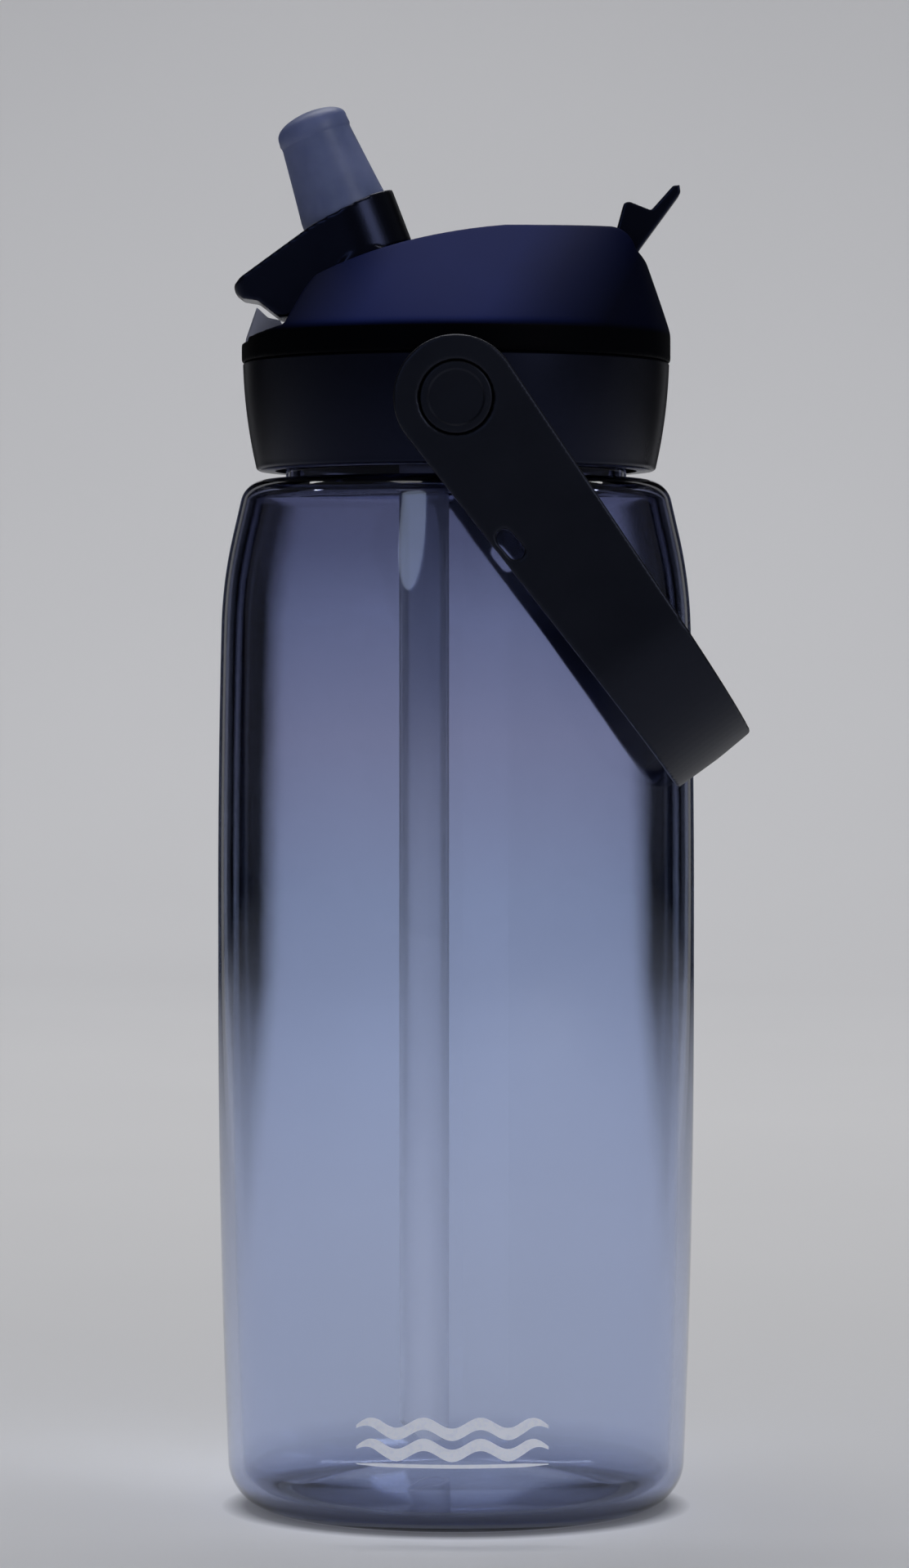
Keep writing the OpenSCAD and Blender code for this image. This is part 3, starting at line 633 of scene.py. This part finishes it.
def make_spout():
    """The flip spout: a ring with a finger tab in front, a hinge barrel and a nipple."""
    line = [(HEAD_R + 1, 6), (HEAD_R + 1, HEAD_Z1), (6, HEAD_Z1), (-6.5, 15), (-14, 13.1), (-23, 10.8),
            (-24.7, 9.8), (-TAB_REACH, 8.4), (-24, 6.8), (-21.5, 5.4), (-18.7, 0.8), (-7, -1.2), (0, 0),
            (0, 6)]
    obj = prism("spout", line, -20, 20)
    turn_r = TAB_CORNER_R
    tip, corner = -TAB_REACH + turn_r, TAB_HALF_W - turn_r
    lean = math.degrees(math.acos((HEAD_R - turn_r) / math.hypot(tip, corner)))
    side = math.degrees(math.atan2(corner, tip)) - lean
    plan = arc((0, 0), HEAD_R, -side, side, 40)
    plan += arc((tip, corner), turn_r, side, 180, 10) + arc((tip, -corner), turn_r, 180, 360 - side, 10)
    boolean(obj, column("plan", plan, -12, 30), "INTERSECT")
    boolean(obj, rod_y("barrel", 0, 0, BARREL_R, -HEAD_R, HEAD_R), "UNION")
    end = HEAD_R + 0.6 + TRUNNION_LEN
    boolean(obj, rod_y("trunnions", 0, 0, TRUNNION_R, -end, end), "UNION")
    foot = [(VALVE_RX * math.cos(math.radians(7.5 * i)), VALVE_RY * math.sin(math.radians(7.5 * i)))
            for i in range(48)]
    boolean(obj, column("socket", foot, HEAD_Z1 - VALVE_FOOT, HEAD_Z1 + 9), "DIFFERENCE")
    post = [(0, 5), (NIPPLE_R, 5), (NIPPLE_R, HEAD_Z1 + 4.5)] + nipple_barb()
    post += [(NIPPLE_R, HEAD_Z1 + NIPPLE_H), (0, HEAD_Z1 + NIPPLE_H)]
    nipple = lathe("nipple", post, 48)
    outward(nipple)
    boolean(obj, nipple, "UNION")
    bore = [polar((0, 0), PASSAGE_R, 15 * i) for i in range(24)]
    boolean(obj, column("bore", bore, -12, 40), "DIFFERENCE")
    soften(obj, 0.34, 5, 0.45)
    place(obj, ON_SPOUT)
    return finish_piece(obj, "spout", BLACK, "black_moulding", "flip_spout")


def make_valve():
    """The bite valve: a soft oval sleeve with a thicker head and a slit across its tip."""
    top = HEAD_Z1 + VALVE_LEN
    foot, head = HEAD_Z1 - VALVE_FOOT, top - 5.2
    line = [(foot, 1.0), (HEAD_Z1, 1.0)]
    line += [(HEAD_Z1 + (head - HEAD_Z1) * i / 10, 1 - 0.19 * (i / 10) ** 0.95) for i in range(1, 11)]
    line += [(head + 0.35, 0.812), (head + 0.8, 0.830), (head + 2.2, 0.815)]
    steps, verts = 96, []
    for z, k in line:
        verts += [(VALVE_RX * k * math.cos(2 * math.pi * i / steps),
                   VALVE_RY * k * math.sin(2 * math.pi * i / steps), z) for i in range(steps)]
    z0, rings = head + 2.2, len(line)
    rx0, ry0, round_steps = VALVE_RX * 0.815, VALVE_RY * 0.805, 16
    for j in range(1, round_steps):
        f = math.radians(90 * j / round_steps)
        rx, lift = rx0 * math.cos(f) ** 0.9, math.sin(f) ** 0.9
        ry = ry0 * (1 - 0.8 * (1 - math.cos(f)))
        verts += [(0.5 * lift + rx * math.cos(2 * math.pi * i / steps),
                   ry * math.sin(2 * math.pi * i / steps), z0 + (top - z0) * lift) for i in range(steps)]
        rings += 1
    verts += [(0.5, 0, top + 0.02), (0, 0, foot)]
    faces = []
    for r in range(rings - 1):
        for i in range(steps):
            k = (i + 1) % steps
            faces.append([r * steps + i, r * steps + k, (r + 1) * steps + k, (r + 1) * steps + i])
    last = (rings - 1) * steps
    faces += [[last + i, last + (i + 1) % steps, last + steps] for i in range(steps)]
    faces += [[(i + 1) % steps, i, last + steps + 1] for i in range(steps)]
    obj = mesh_object("valve_sleeve", verts, faces)
    outward(obj)
    hollow = [(0, foot - 1), (NIPPLE_R, foot - 1), (NIPPLE_R, HEAD_Z1 + 4.6)] + nipple_barb()
    hollow += [(NIPPLE_R + 0.9, HEAD_Z1 + 8), (4.9, top - 4.5), (4.2, top - 2.6), (0, top - 1.9)]
    inner = lathe("hollow", hollow, 48)
    outward(inner)
    boolean(obj, inner, "DIFFERENCE")
    slit = VALVE_RY * VALVE_TAPER / 2
    boolean(obj, column("slit", [(0.4, -slit), (0.8, -slit), (0.8, slit), (0.4, slit)], top - 4, top + 2),
            "DIFFERENCE")
    set_crease_by_angle(obj, 50)
    place(obj, ON_SPOUT)
    return finish_piece(obj, "spout", VALVE_SOFT, "valve_silicone", "bite_valve")


# ------------------------------------------------------------------ handle
def make_handle():
    """The bail handle: two flat arms with round eyes, joined by a round-cornered grip."""
    half, skew = GRIP_W / 2, GRIP_W / 2 * math.tan(math.radians(GRIP_SKEW))
    reach, inner_r, arm_y0 = HANDLE_REACH, HANDLE_CORNER_R - ARM_T, ARM_Y1 - ARM_T
    line = [(0, -EYE_R), (reach + skew, -half), (reach - skew, half), (0, EYE_R)]
    obj = prism("handle", line, -ARM_Y1 - 5, ARM_Y1 + 5)
    outer = [(0, ARM_Y1), (0, -ARM_Y1)]
    outer += arc((reach - HANDLE_CORNER_R, -ARM_Y1 + HANDLE_CORNER_R), HANDLE_CORNER_R, -90, 0, 24)
    outer += arc((reach - HANDLE_CORNER_R, ARM_Y1 - HANDLE_CORNER_R), HANDLE_CORNER_R, 0, 90, 24)
    boolean(obj, column("outer", outer, -40, 40), "INTERSECT")
    far = reach - GRIP_T
    inner = [(-60, arm_y0), (-60, -arm_y0)]
    inner += arc((far - inner_r, -arm_y0 + inner_r), inner_r, -90, 0, 24)
    inner += arc((far - inner_r, arm_y0 - inner_r), inner_r, 0, 90, 24)
    boolean(obj, column("inner", inner, -50, 50), "DIFFERENCE")
    for side in (-1, 1):
        y0, y1 = side * arm_y0, side * ARM_Y1
        boolean(obj, rod_y("eye", 0, 0, EYE_R, y0, y1, 96), "UNION")
        boolean(obj, rod_y("bore", 0, 0, STUD_R + RUN_GAP, y0 - side, y1 + side), "DIFFERENCE")
        recess = side * (ARM_Y1 - STUD_HEAD_T)
        boolean(obj, rod_y("recess", 0, 0, STUD_HEAD_R + RUN_GAP, recess, y1 + side), "DIFFERENCE")
        turn, along = math.radians(SLOT_TURN), (SLOT_LEN - SLOT_W) / 2
        dx, dz = along * math.cos(turn), -along * math.sin(turn)
        slot = [(SLOT_S + x, SLOT_T + z) for x, z in
                arc((dx, dz), SLOT_W / 2, -90 - SLOT_TURN, 90 - SLOT_TURN, 12)
                + arc((-dx, -dz), SLOT_W / 2, 90 - SLOT_TURN, 270 - SLOT_TURN, 12)]
        boolean(obj, prism("slot", slot, y0 - 2 * side, y1 + 2 * side), "DIFFERENCE")
    pose = Matrix.Translation(PIVOT) @ Matrix.Rotation(math.radians(90 - HANDLE_LEAN), 4, "Y")
    place(obj, pose)
    ring = [polar((0, 0), SWING_CLEAR_R, 2.5 * i) for i in range(144)]
    boolean(obj, column("clear", ring, 0, PIVOT.z - 30), "DIFFERENCE")
    soften(obj, 0.4, 5, 0.45)
    return finish_piece(obj, "bail", HANDLE_BLACK, "handle_moulding", "handle")


# ------------------------------------------------------------------ straw and printed mark
def make_straw():
    """The straw: an open tube with a slanted lower end."""
    top, bore = STRAW_TOP, STRAW_R - STRAW_WALL
    slope = math.tan(math.radians(STRAW_SLANT))
    steps, verts = 72, []
    for r, upper in ((STRAW_R, 0), (STRAW_R, 1), (bore, 1), (bore, 0)):
        for i in range(steps):
            f = 2 * math.pi * i / steps
            x = r * math.cos(f)
            z = top if upper else max(STRAW_END_Z, STRAW_END_Z - x * slope)
            verts.append((x - STRAW_X, r * math.sin(f), z))
    faces = [[a * steps + i, a * steps + (i + 1) % steps, b * steps + (i + 1) % steps, b * steps + i]
             for a, b in ((0, 1), (1, 2), (2, 3), (3, 0)) for i in range(steps)]
    obj = mesh_object("straw_tube", verts, faces)
    outward(obj)
    set_crease_by_angle(obj, 40)
    obj.visible_shadow = False
    return finish_piece(obj, "lid", STRAW_CLEAR, "straw_tube", "straw")


def make_print():
    """A generic printed band of waves near the foot of the body."""
    material, nodes, links, shader = new_material("print_white_painted_glow")
    speckle = noise(nodes, links, coordinates(nodes), 900, 3)
    links.new(ramp(nodes, links, speckle, [(0.2, (0.52, 0.54, 0.60)), (0.6, (0.80, 0.81, 0.84))]),
              shader.inputs["Base Color"])
    shader.inputs["Roughness"].default_value = 0.5
    # painted light: the print glows faintly, which lifts its white
    shader.inputs["Emission Color"].default_value = (0.85, 0.88, 1.0, 1)
    shader.inputs["Emission Strength"].default_value = 0.3
    let_light_through(material, 0.4, (0.95, 0.96, 1.0))
    verts, faces, n, start, length, film = [], [], 96, -19, 36.5, 0.04
    # each line: its height, how far it swings, its half width and its waves
    for level, swing, width, waves in ((20.3, 1.0, 1.15, 3.5), (16.4, 1.0, 1.15, 3.5), (13.4, 0.0, 0.35, 1)):
        first = len(verts)
        for i in range(n + 1):
            x = start + length * i / n
            phase = 2 * math.pi * waves * i / n
            thick = width * min(1, 0.25 + 6 * i / n, 0.25 + 6 * (n - i) / n)
            for z in (level + swing * math.sin(phase) - thick, level + swing * math.sin(phase) + thick):
                r = side_r(z) + film
                verts.append((r * math.sin(x / r), -r * math.cos(x / r), z))
        faces += [[first + 2 * i, first + 2 * i + 2, first + 2 * i + 3, first + 2 * i + 1] for i in range(n)]
    obj = mesh_object("printed_waves", verts, faces)
    return finish_piece(obj, "bottle", material, "body_tint")


make_body()
make_collar()
make_stud("pivot_stud_left", -1)
make_stud("pivot_stud_right", 1)
make_cover()
make_rear_tab()
make_bumper()
make_spout()
make_valve()
make_handle()
make_straw()
make_print()

for node, material in (("neck_gasket", SEAL_SOFT), ("lid_deck", BLACK), ("vent_valve", SEAL_SOFT),
                       ("spout_seal", SEAL_SOFT)):
    piece = frame["nodes"][node]
    piece.data.materials.clear()
    piece.data.materials.append(material)


# ------------------------------------------------------------------ stage, light and camera
CAMERA_DISTANCE = 1050


def make_stage():
    """A pale sweep with painted shade in zones far out at its sides and a painted shadow under the foot.

    The clear wall bends the side zones into view, and they draw its dark edges.
    """
    width, front, depth, bend, height = 7000, -2400, 2600, 700, 3500
    line = [(front, 0), (depth - bend, 0)]
    line += arc((depth - bend, bend), bend, -90, 0, 24)[1:]
    line.append((depth, height))
    verts = [(x, y, z) for x in (-width / 2, width / 2) for y, z in line]
    n = len(line)
    faces = [[i, i + n, i + n + 1, i + 1] for i in range(n - 1)]
    obj = mesh_object("backdrop", verts, faces)
    material, nodes, links, shader = new_material("pale_sweep")
    where = coordinates(nodes)
    # the colour of the painted side shade and of the painted shadow under the foot
    dark = (0.004, 0.004, 0.005)
    cloud = ramp(nodes, links, noise(nodes, links, where, 3, 2),
                 [(0.3, (0.81, 0.81, 0.82)), (0.7, (0.83, 0.83, 0.84))])
    split = nodes.new("ShaderNodeSeparateXYZ")
    links.new(where, split.inputs["Vector"])
    aside = arithmetic(nodes, links, "ABSOLUTE", split.outputs["X"])
    reach = arithmetic(nodes, links, "ADD", split.outputs["Y"], CAMERA_DISTANCE * MM)
    splay = arithmetic(nodes, links, "DIVIDE", aside, reach)
    # painted shade: zones out at the sides, as seen from the camera, darker further back
    wide = ramp(nodes, links, splay, [(0.084, (0, 0, 0)), (0.12, (1, 1, 1)), (0.27, (1, 1, 1)),
                                      (0.295, (0.35, 0.35, 0.35)), (0.35, (0.35, 0.35, 0.35)),
                                      (0.39, (1, 1, 1))])
    far = spread(nodes, links, split.outputs["Y"], 0.2, 1.9, 0, 1)
    both = arithmetic(nodes, links, "MULTIPLY", wide, far)
    mix = nodes.new("ShaderNodeMix")
    mix.data_type = "RGBA"
    # painted shadow round and under the foot, where the body casts none
    squares = [arithmetic(nodes, links, "MULTIPLY", split.outputs[k], split.outputs[k]) for k in "XY"]
    round_r = arithmetic(nodes, links, "SQRT", arithmetic(nodes, links, "ADD", *squares))
    ring = spread(nodes, links, round_r, 0, 60 * MM, 0, 1)
    under = ramp(nodes, links, ring, [(0.50, (0.40, 0.40, 0.40)), (0.61, (0.8, 0.8, 0.8)),
                                      (0.67, (0.7, 0.7, 0.7)), (0.75, (0, 0, 0))])
    links.new(arithmetic(nodes, links, "MAXIMUM", both, under), mix.inputs["Factor"])
    links.new(cloud, mix.inputs["A"])
    mix.inputs["B"].default_value = (*dark, 1)
    links.new(mix.outputs["Result"], shader.inputs["Base Color"])
    shader.inputs["Roughness"].default_value = 0.9
    shader.inputs["Specular IOR Level"].default_value = 0.0
    obj.data.materials.append(material)


def area_light(name, at, aim, size, power, colour=(1, 1, 1), shape="RECTANGLE"):
    """A soft light at a point, turned toward another, in millimetres."""
    light = bpy.data.lights.new(name, "AREA")
    light.shape = shape
    light.size, light.size_y = size[0] * MM, size[1] * MM
    light.energy = power
    light.color = colour
    obj = bpy.data.objects.new(name, light)
    obj.location = Vector(at) * MM
    obj.rotation_euler = (Vector(aim) - Vector(at)).to_track_quat("-Z", "Y").to_euler()
    bpy.context.scene.collection.objects.link(obj)


def make_world():
    """A faint cool light from all round."""
    world = bpy.data.worlds.new("room")
    world.use_nodes = True
    background = world.node_tree.nodes["Background"]
    background.inputs["Color"].default_value = (0.80, 0.84, 1.0, 1)
    background.inputs["Strength"].default_value = 0.06
    bpy.context.scene.world = world


def make_camera():
    """The view from the front, from a little above the middle and turned slightly down."""
    frame_height, distance, aside, eye, centre = 299.7, CAMERA_DISTANCE, -0.3, 156, 138
    camera = bpy.data.cameras.new("view")
    camera.sensor_fit = "VERTICAL"
    camera.sensor_height = 36
    camera.lens = camera.sensor_height * distance / frame_height
    camera.clip_start, camera.clip_end = 0.05, 20
    obj = bpy.data.objects.new("view", camera)
    obj.location = Vector((aside, -distance, eye)) * MM
    aim = Vector((aside, 0, centre)) * MM
    obj.rotation_euler = (aim - obj.location).to_track_quat("-Z", "Y").to_euler()
    bpy.context.scene.collection.objects.link(obj)
    bpy.context.scene.camera = obj


make_stage()
make_world()
make_camera()
area_light("overhead", (0, 400, 1500), (0, 400, 0), (900, 1300), 7.0, (1.0, 0.985, 0.96))
area_light("wall", (0, 1500, 2500), (0, 2700, 500), (3400, 700), 35, (0.985, 0.985, 1.0))
area_light("glint", (-690, -1600, 980), (0, 0, 180), (420, 900), 2.2, (0.62, 0.74, 1.0), "ELLIPSE")
area_light("fill", (1150, -1250, 900), (0, 0, 60), (700, 700), 6, (0.95, 0.97, 1.0))
bpy.context.scene.view_settings.view_transform = "Standard"
